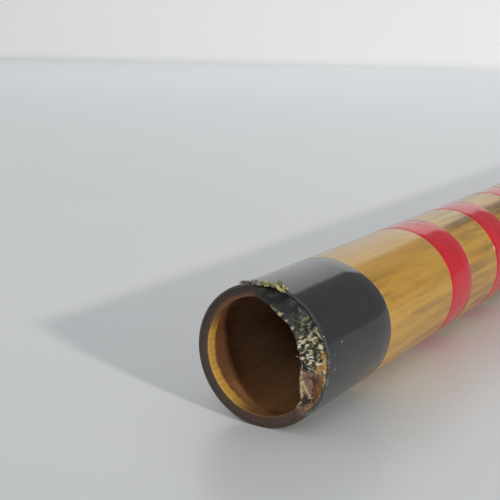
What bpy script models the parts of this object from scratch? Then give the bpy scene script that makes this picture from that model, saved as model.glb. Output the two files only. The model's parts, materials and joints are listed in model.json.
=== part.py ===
"""Side-blown bamboo flute with lacquered bindings, a cork stopper and a membrane.

Run with: blender --background --python part.py

The bore lies along +X, from the head end to the foot end, and the finger holes face up (+Z).
The flute rests on its side: the origin is under its middle, on the surface that it lies on.
Sizes are in metres. Places along the bore are measured from the head end.
"""

import math

import bmesh
import bpy
from mathutils import Matrix

# ---- Overall sizes -------------------------------------------------------------------------------------
LENGTH = 0.4902
OUTER_DIAMETER = 0.022
WALL = 0.0019
SIDES = 32                      # facets round the tube; one of them lies flat on the surface

# ---- Bindings ------------------------------------------------------------------------------------------
END_BINDING_WIDTH = 0.0205      # the black binding at each end
END_MARGIN = 0.0277             # bare bamboo between an end binding and the first red one
RED_BINDING_WIDTH = 0.0098
RED_BINDING_COUNT = 17
BINDING_THICKNESS = 0.0004
SEAT_CLEARANCE = 0.0003         # between a binding and the walls and floor of its groove

# ---- Holes: length along the bore, and width across it ---------------------------------------------------
BLOW_HOLE = (0.0100, 0.0088)
MEMBRANE_HOLE = (0.0076, 0.0070)
FINGER_HOLE = (0.0086, 0.0078)
VENT_HOLE = (0.0080, 0.0074)
TASSEL_HOLE = (0.0042, 0.0042)
HOLE_SIDES = 20
TASSEL_HOLE_SPACING = 0.012
BLOW_GAP = 3                    # each hole lies in the middle of a gap between red bindings,
MEMBRANE_GAP = 6                # and the gaps are counted from the head end, from 0
FIRST_FINGER_GAP = 8
FINGER_HOLE_COUNT = 6
VENT_GAPS = (15, 16)            # the last one lies in the margin past the last red binding
TASSEL_MARGIN = 0.0076          # from the foot binding to the nearer tassel hole's centre

# ---- Stopper and membrane ----------------------------------------------------------------------------------
STOPPER_LENGTH = 0.012
STOPPER_TO_BLOW_HOLE = 0.0026   # from the stopper's face to the near edge of the blow hole
STOPPER_CLEARANCE = 0.0003
STOPPER_CHAMFER = 0.0006
MEMBRANE_OVERLAP = 0.0024       # how far the membrane is glued down all round its hole
MEMBRANE_THICKNESS = 0.0002
MEMBRANE_CLEARANCE = 0.0003

# ---- Ends of the tube --------------------------------------------------------------------------------------
MOUTH_CHAMFER = 0.0004
LEDGE_CHORD = 0.0067            # from the bore's axis to the flat of the ledge left inside the head end
LEDGE_START = 0.0003
LEDGE_DEPTH = 0.0040
LEDGE_ANGLE = math.radians(-8)  # the ledge's middle, above or below the -Y side
CHIP_REACH = 0.0018             # how far the chip in the head rim runs back along the tube
CHIP_DEPTH = 0.0022             # how far it bites in from the outer surface
CHIP_HALF_LENGTH = 0.0072       # half its length along the rim
CHIP_ANGLE = math.radians(-14)  # the chip's middle, above or below the -Y side

# ---- Worked out from the sizes above -----------------------------------------------------------------------
TUBE_RADIUS = OUTER_DIAMETER / 2
BORE_RADIUS = TUBE_RADIUS - WALL
SEAT_RADIUS = TUBE_RADIUS - BINDING_THICKNESS - SEAT_CLEARANCE
AXIS_HEIGHT = TUBE_RADIUS * math.cos(math.pi / SIDES)
END_ZONE = END_BINDING_WIDTH + END_MARGIN
PITCH = (LENGTH - 2 * END_ZONE - RED_BINDING_WIDTH) / (RED_BINDING_COUNT - 1)
BLADE = 0.004                   # how far a cutter runs past what it cuts


def binding_start(index):
    """Where red binding number index starts, counted from 0 at the head end."""
    return END_ZONE + index * PITCH


def gap_middle(index):
    """The middle of the bare gap that follows red binding number index."""
    return binding_start(index) + (RED_BINDING_WIDTH + PITCH) / 2


STOPPER_FACE = gap_middle(BLOW_GAP) - BLOW_HOLE[0] / 2 - STOPPER_TO_BLOW_HOLE


def clear_scene():
    for obj in list(bpy.data.objects):
        bpy.data.objects.remove(obj, do_unlink=True)


def make_material(name, colour, roughness, metallic=0.0):
    material = bpy.data.materials.new(name)
    material.use_nodes = True
    shader = material.node_tree.nodes["Principled BSDF"]
    shader.inputs["Base Color"].default_value = (*colour, 1.0)
    shader.inputs["Roughness"].default_value = roughness
    shader.inputs["Metallic"].default_value = metallic
    material.diffuse_color = (*colour, 1.0)
    return material


def add_object(name, bm, material, parent, x=0.0):
    """Makes the bmesh an object on the bore's axis, x from the head end."""
    bmesh.ops.recalc_face_normals(bm, faces=bm.faces)
    mesh = bpy.data.meshes.new(name)
    bm.to_mesh(mesh)
    bm.free()
    mesh.shade_smooth()
    mesh.set_sharp_from_angle(angle=math.radians(30))
    if material:
        mesh.materials.append(material)
    obj = bpy.data.objects.new(name, mesh)
    bpy.context.scene.collection.objects.link(obj)
    obj.parent = parent
    obj.location.x = x
    return obj


def turned(profile):
    """A bmesh of a closed outline of (x, radius) points turned round the X axis, with a facet underneath."""
    bm = bmesh.new()
    points = [bm.verts.new((x, 0.0, radius)) for x, radius in profile]
    edges = [bm.edges.new((a, b)) for a, b in zip(points, points[1:] + points[:1])]
    bmesh.ops.rotate(bm, verts=points, matrix=Matrix.Rotation(math.pi / SIDES, 3, "X"))
    bmesh.ops.spin(bm, geom=points + edges, axis=(1, 0, 0), cent=(0, 0, 0), steps=SIDES, angle=math.tau)
    bmesh.ops.remove_doubles(bm, verts=bm.verts, dist=1e-6)
    return bm


def ring_profile(length, inner, outer):
    return [(0.0, inner), (0.0, outer), (length, outer), (length, inner)]


def add_oval_post(bm, x, size, low, high):
    """Adds an upright oval post at x, as long and wide as size says, from height low to high."""
    place = Matrix.Translation((x, 0.0, (low + high) / 2)) @ Matrix.Diagonal((size[0] / 2, size[1] / 2, 1, 1))
    bmesh.ops.create_cone(
        bm, cap_ends=True, segments=HOLE_SIDES, radius1=1, radius2=1, depth=high - low, matrix=place
    )


def as_cutter(obj):
    obj.hide_render = True
    obj.display_type = "WIRE"
    return obj


def boolean(obj, operation, other):
    modifier = obj.modifiers.new(other.name, "BOOLEAN")
    modifier.operation = operation
    modifier.object = other
    modifier.solver = "EXACT"


# ---- The tube ----------------------------------------------------------------------------------------------
def tube_profile():
    """The tube's outline: a rebate for the binding at each end, and a groove for each red binding."""
    rebate = END_BINDING_WIDTH + SEAT_CLEARANCE
    outline = [(0.0, SEAT_RADIUS), (rebate, SEAT_RADIUS), (rebate, TUBE_RADIUS)]
    for index in range(RED_BINDING_COUNT):
        start = binding_start(index) - SEAT_CLEARANCE
        end = binding_start(index) + RED_BINDING_WIDTH + SEAT_CLEARANCE
        outline += [(start, TUBE_RADIUS), (start, SEAT_RADIUS), (end, SEAT_RADIUS), (end, TUBE_RADIUS)]
    outline += [(LENGTH - rebate, TUBE_RADIUS), (LENGTH - rebate, SEAT_RADIUS), (LENGTH, SEAT_RADIUS)]
    outline += [(LENGTH, BORE_RADIUS + MOUTH_CHAMFER), (LENGTH - MOUTH_CHAMFER, BORE_RADIUS)]
    outline += [(MOUTH_CHAMFER, BORE_RADIUS), (0.0, BORE_RADIUS + MOUTH_CHAMFER)]
    return outline


def hole_cutter(axis):
    """One helper with a post for every hole: all of them up, but for the two tassel holes underneath."""
    bm = bmesh.new()
    top = TUBE_RADIUS + BLADE
    holes = [(BLOW_GAP, BLOW_HOLE), (MEMBRANE_GAP, MEMBRANE_HOLE)]
    holes += [(FIRST_FINGER_GAP + n, FINGER_HOLE) for n in range(FINGER_HOLE_COUNT)]
    holes += [(gap, VENT_HOLE) for gap in VENT_GAPS]
    for gap, size in holes:
        add_oval_post(bm, gap_middle(gap), size, BORE_RADIUS / 2, top)
    for n in range(2):
        x = LENGTH - END_BINDING_WIDTH - TASSEL_MARGIN - n * TASSEL_HOLE_SPACING
        add_oval_post(bm, x, TASSEL_HOLE, -top, -BORE_RADIUS / 2)
    return as_cutter(add_object("hole_cutter", bm, None, axis))


def chip_cutter(axis):
    """A long rounded lump that bites the worn chip out of the head rim."""
    bm = bmesh.new()
    shape = Matrix.Diagonal((CHIP_REACH, CHIP_DEPTH, CHIP_HALF_LENGTH, 1))
    place = Matrix.Rotation(CHIP_ANGLE, 4, "X") @ Matrix.Translation((0.0, -TUBE_RADIUS, 0.0))
    bmesh.ops.create_icosphere(bm, subdivisions=2, radius=1, matrix=place @ shape)
    return as_cutter(add_object("chip_cutter", bm, None, axis))


def ledge(axis):
    """The flat-sided remnant of the bamboo's inner wall, just inside the head end."""
    wall_middle = BORE_RADIUS + WALL / 4
    width = wall_middle - LEDGE_CHORD
    bm = bmesh.new()
    shape = Matrix.Diagonal((LEDGE_DEPTH, width, 2 * BORE_RADIUS, 1))
    place = Matrix.Translation((LEDGE_START + LEDGE_DEPTH / 2, -LEDGE_CHORD - width / 2, 0.0))
    bmesh.ops.create_cube(bm, size=1, matrix=Matrix.Rotation(LEDGE_ANGLE, 4, "X") @ place @ shape)
    block = as_cutter(add_object("ledge_block", bm, None, axis))

    ring = turned(ring_profile(LEDGE_START + LEDGE_DEPTH + BLADE, LEDGE_CHORD / 2, wall_middle))
    boolean(block, "INTERSECT", as_cutter(add_object("ledge_outline", ring, None, axis)))
    return block


def make_tube(axis, material):
    tube = add_object("bamboo_tube", turned(tube_profile()), material, axis)
    boolean(tube, "UNION", ledge(axis))
    boolean(tube, "DIFFERENCE", hole_cutter(axis))
    return tube


# ---- Bindings, stopper and membrane ------------------------------------------------------------------------
def binding_mesh(length):
    return turned(ring_profile(length, TUBE_RADIUS - BINDING_THICKNESS, TUBE_RADIUS))


def make_bindings(axis, black, red):
    head = add_object("head_end_binding", binding_mesh(END_BINDING_WIDTH), black, axis)
    foot_start = LENGTH - END_BINDING_WIDTH
    add_object("foot_end_binding", binding_mesh(END_BINDING_WIDTH), black, axis, foot_start)
    for index in range(RED_BINDING_COUNT):
        name = f"red_binding_{index + 1:02d}"
        add_object(name, binding_mesh(RED_BINDING_WIDTH), red, axis, binding_start(index))
    return head


def make_stopper(axis, material):
    """The cork that closes the bore beside the blow hole. Its origin is on the bore's axis, at its face."""
    radius = BORE_RADIUS - STOPPER_CLEARANCE
    bm = bmesh.new()
    along_bore = Matrix.Translation((-STOPPER_LENGTH / 2, 0, 0)) @ Matrix.Rotation(math.pi / 2, 4, "Y")
    bmesh.ops.create_cone(
        bm,
        cap_ends=True,
        segments=SIDES,
        radius1=radius,
        radius2=radius,
        depth=STOPPER_LENGTH,
        matrix=along_bore,
    )
    bmesh.ops.rotate(bm, verts=bm.verts, matrix=Matrix.Rotation(math.pi / SIDES, 3, "X"))
    rims = [edge for edge in bm.edges if abs(edge.verts[0].co.x - edge.verts[1].co.x) < 1e-6]
    bmesh.ops.bevel(bm, geom=rims, offset=STOPPER_CHAMFER, segments=1, affect="EDGES")
    add_object("cork_stopper", bm, material, axis, STOPPER_FACE)


def make_membrane(axis, material):
    """The thin reed skin glued over its hole: an oval patch that follows the tube's round."""
    size = (MEMBRANE_HOLE[0] + 2 * MEMBRANE_OVERLAP, MEMBRANE_HOLE[1] + 2 * MEMBRANE_OVERLAP)
    inner = TUBE_RADIUS + MEMBRANE_CLEARANCE
    start = gap_middle(MEMBRANE_GAP) - size[0]
    shell = turned(ring_profile(2 * size[0], inner, inner + MEMBRANE_THICKNESS))
    skin = add_object("membrane", shell, material, axis, start)
    post = bmesh.new()
    add_oval_post(post, gap_middle(MEMBRANE_GAP), size, 0.0, inner + BLADE)
    boolean(skin, "INTERSECT", as_cutter(add_object("membrane_outline", post, None, axis)))


def main():
    clear_scene()
    axis = bpy.data.objects.new("bore_axis", None)
    bpy.context.scene.collection.objects.link(axis)
    axis.location = (-LENGTH / 2, 0.0, AXIS_HEIGHT)

    bamboo = make_material("bamboo", (0.50, 0.31, 0.07), 0.35)
    black = make_material("black_lacquer", (0.015, 0.016, 0.018), 0.15)
    red = make_material("red_lacquer", (0.55, 0.02, 0.03), 0.15)
    cork = make_material("cork", (0.48, 0.29, 0.15), 0.85)
    reed_skin = make_material("reed_skin", (0.80, 0.74, 0.58), 0.40)

    tube = make_tube(axis, bamboo)
    head_binding = make_bindings(axis, black, red)
    chip = chip_cutter(axis)
    boolean(tube, "DIFFERENCE", chip)
    boolean(head_binding, "DIFFERENCE", chip)
    make_stopper(axis, cork)
    make_membrane(axis, reed_skin)


main()
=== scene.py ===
"""The looks of a side-blown bamboo flute: varnished bamboo, lacquered bindings, a cork and a reed skin.

Run with: blender --background --python scene.py

Everything is in metres. The bore lies along +X from the head end, and the finger holes face up.
An angle round the tube is 0 at the top and grows towards -Y, as a clock's hand seen from the head end.
"""

import json
import math
import random

import bpy
import numpy as np
from mathutils import Euler, Matrix, Vector, noise


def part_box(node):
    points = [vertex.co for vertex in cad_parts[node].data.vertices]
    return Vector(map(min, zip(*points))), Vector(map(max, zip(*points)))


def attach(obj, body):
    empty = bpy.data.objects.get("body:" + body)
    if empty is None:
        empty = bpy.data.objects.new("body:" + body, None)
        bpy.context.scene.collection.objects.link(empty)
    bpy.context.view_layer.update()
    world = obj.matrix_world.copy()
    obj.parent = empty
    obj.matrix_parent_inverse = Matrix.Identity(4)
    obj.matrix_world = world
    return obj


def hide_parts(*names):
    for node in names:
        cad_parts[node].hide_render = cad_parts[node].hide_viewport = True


bl_info = {
    "name": "Bamboo flute",
    "version": (1, 0, 0),
    "blender": (4, 5, 0),
    "location": "View3D > Sidebar > Flute",
    "description": "Models and finishes each piece of a side-blown bamboo flute",
    "category": "Object",
}

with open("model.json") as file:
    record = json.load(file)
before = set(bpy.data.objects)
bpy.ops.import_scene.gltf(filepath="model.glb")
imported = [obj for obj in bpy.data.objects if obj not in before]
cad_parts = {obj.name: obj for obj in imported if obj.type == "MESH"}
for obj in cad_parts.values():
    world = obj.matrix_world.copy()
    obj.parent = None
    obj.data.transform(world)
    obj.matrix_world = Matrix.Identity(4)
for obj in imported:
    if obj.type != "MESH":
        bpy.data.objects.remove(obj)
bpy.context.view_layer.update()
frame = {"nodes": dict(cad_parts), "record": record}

MM = 0.001
RED_BINDINGS = sorted(name for name in frame["nodes"] if name.startswith("red_binding"))
OPENINGS = {opening["name"]: opening["box_m"] for opening in frame["record"]["physics"]["openings"]}

TUBE_LOW, TUBE_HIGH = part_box("bamboo_tube")
HEAD = TUBE_LOW.x
FOOT = TUBE_HIGH.x
AXIS_HEIGHT = (TUBE_LOW.z + TUBE_HIGH.z) / 2
RADIUS = (TUBE_HIGH.y - TUBE_LOW.y) / 2
CORK_LOW, CORK_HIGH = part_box("cork_stopper")
CORK_CLEARANCE = 0.3 * MM
BORE = (CORK_HIGH.y - CORK_LOW.y) / 2 + CORK_CLEARANCE

# How many steps each round piece is turned in. The head end has the most, for its broken rim.
HEAD_STEPS = 192
BINDING_STEPS = 144
CORK_STEPS = 96


# ---- Sizes and colours that a user would change -------------------------------------------------------
def length_property(name, description, millimetres):
    return bpy.props.FloatProperty(
        name=name,
        description=description,
        default=millimetres * MM,
        min=0.0,
        subtype="DISTANCE",
        unit="LENGTH",
    )


def colour_property(name, description, code):
    return bpy.props.StringProperty(name=name, description=description, default=code)


class FluteSizes(bpy.types.PropertyGroup):
    """Sizes of the finished surfaces, where the frame leaves them open."""

    binding_depth: length_property("Binding depth", "How deep a binding sits in its groove", 0.4)
    binding_proud: length_property("Binding rise", "How far the lacquer stands over the bamboo", 0.03)
    edge_round: length_property("Edge rounding", "Radius of the rounded edges of bindings", 0.09)
    blow_length: length_property("Blow hole length", "Along the bore", 10.0)
    blow_width: length_property("Blow hole width", "Across the bore", 8.8)
    finger_length: length_property("Finger hole length", "Along the bore", 8.6)
    finger_width: length_property("Finger hole width", "Across the bore", 7.8)
    vent_length: length_property("Vent hole length", "Along the bore", 8.0)
    vent_width: length_property("Vent hole width", "Across the bore", 7.4)
    membrane_length: length_property("Membrane hole length", "Along the bore", 7.6)
    membrane_width: length_property("Membrane hole width", "Across the bore", 7.0)
    tassel_width: length_property("Tassel hole width", "Across each tassel hole", 4.2)
    tassel_margin: length_property("Tassel margin", "From the foot binding to the nearer tassel hole", 7.6)
    tassel_spacing: length_property("Tassel spacing", "Between the two tassel holes", 12.0)
    hole_round: length_property("Hole edge", "How far the eased edge of a hole reaches", 0.45)


class FluteColours(bpy.types.PropertyGroup):
    """Colours of the finishes, as sRGB hex codes."""

    bamboo: colour_property("Bamboo", "Varnished bamboo", "#BA8822")
    bamboo_pale: colour_property("Pale bamboo", "The lighter fibres", "#C69C3A")
    mottle: colour_property("Mottling", "Brown marks along the grain", "#6E4C20")
    end_grain: colour_property("End grain", "The stained cut end", "#52423A")
    bore: colour_property("Bore", "The brown wall of the bore near the mouth", "#6B4326")
    # Painted light: the deep bore's paler colour stands in for light that reaches too little down the bore.
    bore_deep: colour_property("Deep bore", "The paler wall further in", "#C29A74")
    # Painted light: the underside's paler colour stands in for light falling on it from above.
    bore_under: colour_property("Bore underside", "The paler wall along the bore's underside", "#AE7A4E")
    mouth: colour_property("Mouth", "The paler wood just inside the mouth", "#CFA044")
    black: colour_property("Black lacquer", "The end bindings", "#28292A")
    red: colour_property("Red lacquer", "The bindings along the tube", "#C8202E")
    cork: colour_property("Cork", "The stopper", "#B98A5C")
    skin: colour_property("Reed skin", "The membrane", "#EFE6C8")
    floor: colour_property("Floor", "The table top", "#DCDDDD")
    wall: colour_property("Wall", "The backdrop", "#E4E4E2")


def sizes():
    return bpy.context.scene.flute_sizes


def colours():
    return bpy.context.scene.flute_colours


# ---- Helpers for modelling ----------------------------------------------------------------------------
def start_clean():
    """Leaves edit mode with nothing selected, ready for a new primitive."""
    if bpy.context.object and bpy.context.object.mode != "OBJECT":
        bpy.ops.object.mode_set(mode="OBJECT")
    bpy.ops.object.select_all(action="DESELECT")


def make_active(obj):
    start_clean()
    obj.select_set(True)
    bpy.context.view_layer.objects.active = obj


def edit_all(obj):
    make_active(obj)
    bpy.ops.object.mode_set(mode="EDIT")
    bpy.ops.mesh.select_all(action="SELECT")


def apply_modifier(obj, kind, **settings):
    make_active(obj)
    modifier = obj.modifiers.new(kind.title(), kind)
    for name, value in settings.items():
        setattr(modifier, name, value)
    bpy.ops.object.modifier_apply(modifier=modifier.name)


def read_points(mesh):
    points = np.empty(len(mesh.vertices) * 3)
    mesh.vertices.foreach_get("co", points)
    return points.reshape(-1, 3)


def write_points(mesh, points):
    mesh.vertices.foreach_set("co", np.asarray(points, float).ravel())
    mesh.update()


def ease(value, low, high):
    """0 below low, 1 above high, and a smooth step between them."""
    t = np.clip((np.asarray(value, float) - low) / (high - low), 0.0, 1.0)
    return t * t * (3.0 - 2.0 * t)


def rough(points, size, seed):
    """Perlin noise from -1 to 1 at each point, with lumps of the given size along X, Y and Z, in metres."""
    scaled = points / np.array(size) + seed * 17.3
    return np.array([noise.noise(Vector(point)) for point in scaled])


def around(points):
    """Each point's angle round the bore in degrees, and its distance from the bore's axis."""
    up = points[:, 2] - AXIS_HEIGHT
    return np.degrees(np.arctan2(-points[:, 1], up)), np.hypot(points[:, 1], up)


def turned(name, outline, steps):
    """A closed outline of (x, radius) corners, given anticlockwise, spun round the bore's axis."""
    start_clean()
    bpy.ops.mesh.primitive_circle_add(vertices=len(outline))
    piece = bpy.context.object
    piece.name = name
    for vertex, (x, radius) in zip(piece.data.vertices, outline):
        vertex.co = (x, 0.0, AXIS_HEIGHT + radius)
    edit_all(piece)
    bpy.ops.mesh.spin(steps=steps, angle=math.tau, center=(0.0, 0.0, AXIS_HEIGHT), axis=(1.0, 0.0, 0.0))
    bpy.ops.mesh.select_all(action="SELECT")
    bpy.ops.mesh.remove_doubles(threshold=1e-6)
    bpy.ops.mesh.normals_make_consistent(inside=False)
    bpy.ops.object.mode_set(mode="OBJECT")
    return piece


def refine(piece, chosen, cuts):
    """Subdivides the faces whose middles chosen(points) picks."""
    edit_all(piece)
    bpy.ops.mesh.select_all(action="DESELECT")
    bpy.context.tool_settings.mesh_select_mode = (False, False, True)
    bpy.ops.object.mode_set(mode="OBJECT")
    middles = np.array([polygon.center for polygon in piece.data.polygons])
    piece.data.polygons.foreach_set("select", chosen(middles))
    bpy.ops.object.mode_set(mode="EDIT")
    bpy.ops.mesh.subdivide(number_cuts=cuts)
    bpy.ops.object.mode_set(mode="OBJECT")


def paint(piece, name, values):
    """Stores a colour for each vertex in the piece's own attribute."""
    layer = piece.data.color_attributes.new(name, "FLOAT_COLOR", "POINT")
    layer.data.foreach_set("color", np.column_stack([values, np.ones(len(values))]).ravel())


def finish_piece(piece, materials, body, nodes, angle=30.0):
    """Smooths the piece, gives it its finishes, hangs it on its body, and hides the frame's parts that it
    stands for.
    """
    make_active(piece)
    bpy.ops.object.shade_smooth_by_angle(angle=math.radians(angle))
    piece.data.materials.clear()
    for material in materials:
        piece.data.materials.append(material)
    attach(piece, body)
    if nodes:
        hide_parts(*nodes)
    return piece


# ---- Helpers for materials ----------------------------------------------------------------------------
def linear(code):
    """An sRGB hex code as linear red, green, blue and alpha."""
    parts = [int(code[place : place + 2], 16) / 255 for place in (1, 3, 5)]
    return (*(p / 12.92 if p <= 0.04045 else ((p + 0.055) / 1.055) ** 2.4 for p in parts), 1.0)


def add(tree, kind, inputs=None, **settings):
    """Adds one node with its settings. Each input is a value or the socket that feeds it."""
    made = tree.nodes.new(kind)
    for name, value in settings.items():
        setattr(made, name, value)
    for name, value in (inputs or {}).items():
        if isinstance(value, bpy.types.NodeSocket):
            tree.links.new(value, made.inputs[name])
        else:
            made.inputs[name].default_value = value
    return made


def new_material(name, roughness, ior=1.5, coat=0.0, coat_roughness=0.1):
    """A material with its Principled shader's even values set, and its object coordinates."""
    material = bpy.data.materials.new(name)
    material.use_nodes = True
    tree = material.node_tree
    shader = tree.nodes["Principled BSDF"]
    shader.inputs["Roughness"].default_value = roughness
    shader.inputs["IOR"].default_value = ior
    shader.inputs["Coat Weight"].default_value = coat
    shader.inputs["Coat Roughness"].default_value = coat_roughness
    coords = add(tree, "ShaderNodeTexCoord").outputs["Object"]
    return material, tree, shader, coords


def pattern(tree, coords, length, width, detail=4.0, distortion=0.0, low=0.35, high=0.65, place=(0, 0, 0)):
    """Noise whose lumps are length long along the tube and width across it, spread from 0 to 1."""
    mapped = add(
        tree,
        "ShaderNodeMapping",
        {"Vector": coords, "Scale": (1 / length, 1 / width, 1 / width), "Location": place},
    )
    settings = {"Scale": 1.0, "Detail": detail, "Roughness": 0.55, "Distortion": distortion}
    lumps = add(tree, "ShaderNodeTexNoise", {"Vector": mapped.outputs[0], **settings}).outputs["Fac"]
    spread = add(tree, "ShaderNodeMapRange", {"Value": lumps, "From Min": low, "From Max": high}, clamp=True)
    return spread.outputs[0]


def blend_colour(tree, factor, first, second):
    """Mixes two colours, by the sockets that a Mix node has for colours."""
    mixed = add(tree, "ShaderNodeMix", {0: factor, 6: first, 7: second}, data_type="RGBA")
    return mixed.outputs[2]


def maths(tree, operation, first, second):
    return add(tree, "ShaderNodeMath", {0: first, 1: second}, operation=operation).outputs[0]


def scaled(tree, value, low, high):
    """A 0 to 1 value spread from low to high."""
    return add(tree, "ShaderNodeMapRange", {"Value": value, "To Min": low, "To Max": high}).outputs[0]


def add_bump(tree, shader, height, distance, strength):
    bump = add(tree, "ShaderNodeBump", {"Height": height, "Distance": distance, "Strength": strength})
    tree.links.new(bump.outputs[0], shader.inputs["Normal"])


# ---- Materials ----------------------------------------------------------------------------------------
def varnished_bamboo():
    """Bamboo culm, scraped and varnished: straight fibres, brown marks drawn out along them, a soft gloss."""
    material, tree, shader, coords = new_material("varnished_bamboo", 0.46, coat=0.5, coat_roughness=0.15)
    shade = colours()
    # Vascular bundles are about 0.4 mm wide and run on for centimetres.
    fibres = pattern(tree, coords, 30 * MM, 0.42 * MM, low=0.3, high=0.7)
    broad = pattern(tree, coords, 60 * MM, 3.2 * MM, detail=3.0)
    # The brown marks are about 2 mm wide and 15 to 40 mm long, with ragged ends, and crowd into patches.
    marks = pattern(tree, coords, 30 * MM, 2.0 * MM, detail=5.0, distortion=0.2, low=0.44, high=0.64)
    flecks = pattern(tree, coords, 5.5 * MM, 0.6 * MM, detail=4.0, low=0.55, high=0.72, place=(3, 5, 7))
    patches = pattern(tree, coords, 26 * MM, 9 * MM, detail=2.0, low=0.42, high=0.62, place=(4.5, 2, 4))
    # They also gather past the first bare stretch, towards the culm's node.
    along = add(tree, "ShaderNodeSeparateXYZ", {"Vector": coords}).outputs["X"]
    near_node = add(
        tree,
        "ShaderNodeMapRange",
        {
            "Value": along,
            "From Min": HEAD + 46 * MM,
            "From Max": HEAD + 62 * MM,
            "To Min": 0.75,
            "To Max": 1.3,
        },
    )
    marks = maths(tree, "MULTIPLY", marks, near_node.outputs[0])
    marks = maths(tree, "MULTIPLY", marks, scaled(tree, patches, 0.4, 1.0))
    flecks = maths(tree, "MULTIPLY", flecks, scaled(tree, patches, 0.2, 1.0))
    paler = scaled(tree, broad, 0.0, 0.75)
    colour = blend_colour(tree, paler, linear(shade.bamboo), linear(shade.bamboo_pale))
    colour = blend_colour(tree, scaled(tree, fibres, 0.0, 0.28), colour, linear("#9A6E24"))
    colour = blend_colour(tree, scaled(tree, marks, 0.0, 0.80), colour, linear(shade.mottle))
    colour = blend_colour(tree, scaled(tree, flecks, 0.0, 0.5), colour, linear("#5A3C17"))
    tree.links.new(colour, shader.inputs["Base Color"])
    tree.links.new(scaled(tree, fibres, 0.36, 0.50), shader.inputs["Roughness"])
    add_bump(tree, shader, fibres, 0.02 * MM, 0.6)
    return material


def raw_bamboo():
    """Cut bamboo, stained at the end and bare in the bore. The rim's own colours are in an attribute."""
    material, tree, shader, coords = new_material("raw_bamboo", 0.55)
    grain = pattern(tree, coords, 9 * MM, 0.35 * MM, detail=5.0, low=0.3, high=0.7)
    cloud = pattern(tree, coords, 14 * MM, 3.0 * MM)
    rim = add(tree, "ShaderNodeVertexColor", layer_name="rim").outputs["Color"]
    colour = blend_colour(tree, scaled(tree, cloud, 0.0, 0.3), rim, linear("#4A2C18"))
    colour = blend_colour(tree, scaled(tree, grain, 0.0, 0.3), colour, linear("#2B1A10"))
    tree.links.new(colour, shader.inputs["Base Color"])
    tree.links.new(scaled(tree, grain, 0.45, 0.7), shader.inputs["Roughness"])
    add_bump(tree, shader, grain, 0.05 * MM, 0.8)
    return material


def broken_bamboo():
    """Torn bamboo, part painted over. Cream fibre, brown pith and black paint come from its attribute."""
    material, tree, shader, coords = new_material("broken_bamboo", 0.6)
    torn = add(tree, "ShaderNodeVertexColor", layer_name="rim").outputs["Color"]
    grit = pattern(tree, coords, 0.6 * MM, 0.3 * MM, detail=3.0, low=0.3, high=0.7)
    colour = blend_colour(tree, scaled(tree, grit, 0.0, 0.25), torn, linear("#1D1611"))
    tree.links.new(colour, shader.inputs["Base Color"])
    tree.links.new(scaled(tree, grit, 0.4, 0.7), shader.inputs["Roughness"])
    add_bump(tree, shader, grit, 0.05 * MM, 0.6)
    return material


def lacquer(name, code, deep, roughness, ior=1.6):
    """Brushed lacquer over wound thread, rubbed flat: a clear gloss with faint pull along the brush.

    Its attribute says where it is chipped and where a painted highlight lies as a grey line along the broken
    front edge (red), stained (green) and pitted (blue).
    """
    material, tree, shader, coords = new_material(name, roughness, ior=ior)
    brush = pattern(tree, coords, 3.5 * MM, 5 * MM, detail=3.0)
    specks = pattern(tree, coords, 0.8 * MM, 0.7 * MM, detail=1.0, low=0.70, high=0.76)
    wear_and_edge_highlight = add(tree, "ShaderNodeVertexColor", layer_name="wear_and_edge_highlight").outputs["Color"]
    wear_and_edge_highlight = add(tree, "ShaderNodeSeparateColor", {"Color": wear_and_edge_highlight}).outputs
    colour = blend_colour(tree, scaled(tree, brush, 0.0, 0.55), linear(code), linear(deep))
    colour = blend_colour(tree, maths(tree, "MULTIPLY", specks, wear_and_edge_highlight["Blue"]), colour, linear("#A5A196"))
    colour = blend_colour(tree, wear_and_edge_highlight["Green"], colour, linear("#4A3E34"))
    # Red: chipped lacquer, and a painted highlight of grey along the broken front edge.
    colour = blend_colour(tree, wear_and_edge_highlight["Red"], colour, linear("#94918A"))
    tree.links.new(colour, shader.inputs["Base Color"])
    tree.links.new(scaled(tree, brush, roughness, roughness + 0.05), shader.inputs["Roughness"])
    add_bump(tree, shader, brush, 0.02 * MM, 0.5)
    return material


def splinter_fibre():
    """Loose bamboo fibre: dry and pale, each strand in its own shade from its attribute."""
    material, tree, shader, coords = new_material("splinter_fibre", 0.65)
    tone = add(tree, "ShaderNodeVertexColor", layer_name="tone").outputs["Color"]
    grain = pattern(tree, coords, 0.9 * MM, 0.25 * MM, low=0.3, high=0.7)
    rot = pattern(tree, coords, 0.5 * MM, 0.35 * MM, detail=2.0, low=0.50, high=0.60, place=(2, 1, 3))
    colour = blend_colour(tree, scaled(tree, grain, 0.0, 0.4), tone, linear("#4A3A1E"))
    colour = blend_colour(tree, scaled(tree, rot, 0.0, 0.6), colour, linear("#3E3A20"))
    tree.links.new(colour, shader.inputs["Base Color"])
    add_bump(tree, shader, grain, 0.05 * MM, 0.8)
    return material


def natural_cork():
    """Cut cork: soft matt tan with dark lenticels."""
    material, tree, shader, coords = new_material("natural_cork", 0.85)
    cells = pattern(tree, coords, 1.2 * MM, 1.2 * MM, detail=6.0)
    pits = pattern(tree, coords, 2.6 * MM, 0.8 * MM, detail=3.0, low=0.60, high=0.68)
    colour = blend_colour(tree, scaled(tree, cells, 0.0, 0.5), linear(colours().cork), linear("#8F6238"))
    colour = blend_colour(tree, pits, colour, linear("#4A2C18"))
    tree.links.new(colour, shader.inputs["Base Color"])
    add_bump(tree, shader, maths(tree, "SUBTRACT", cells, pits), 0.15 * MM, 0.8)
    return material


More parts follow.
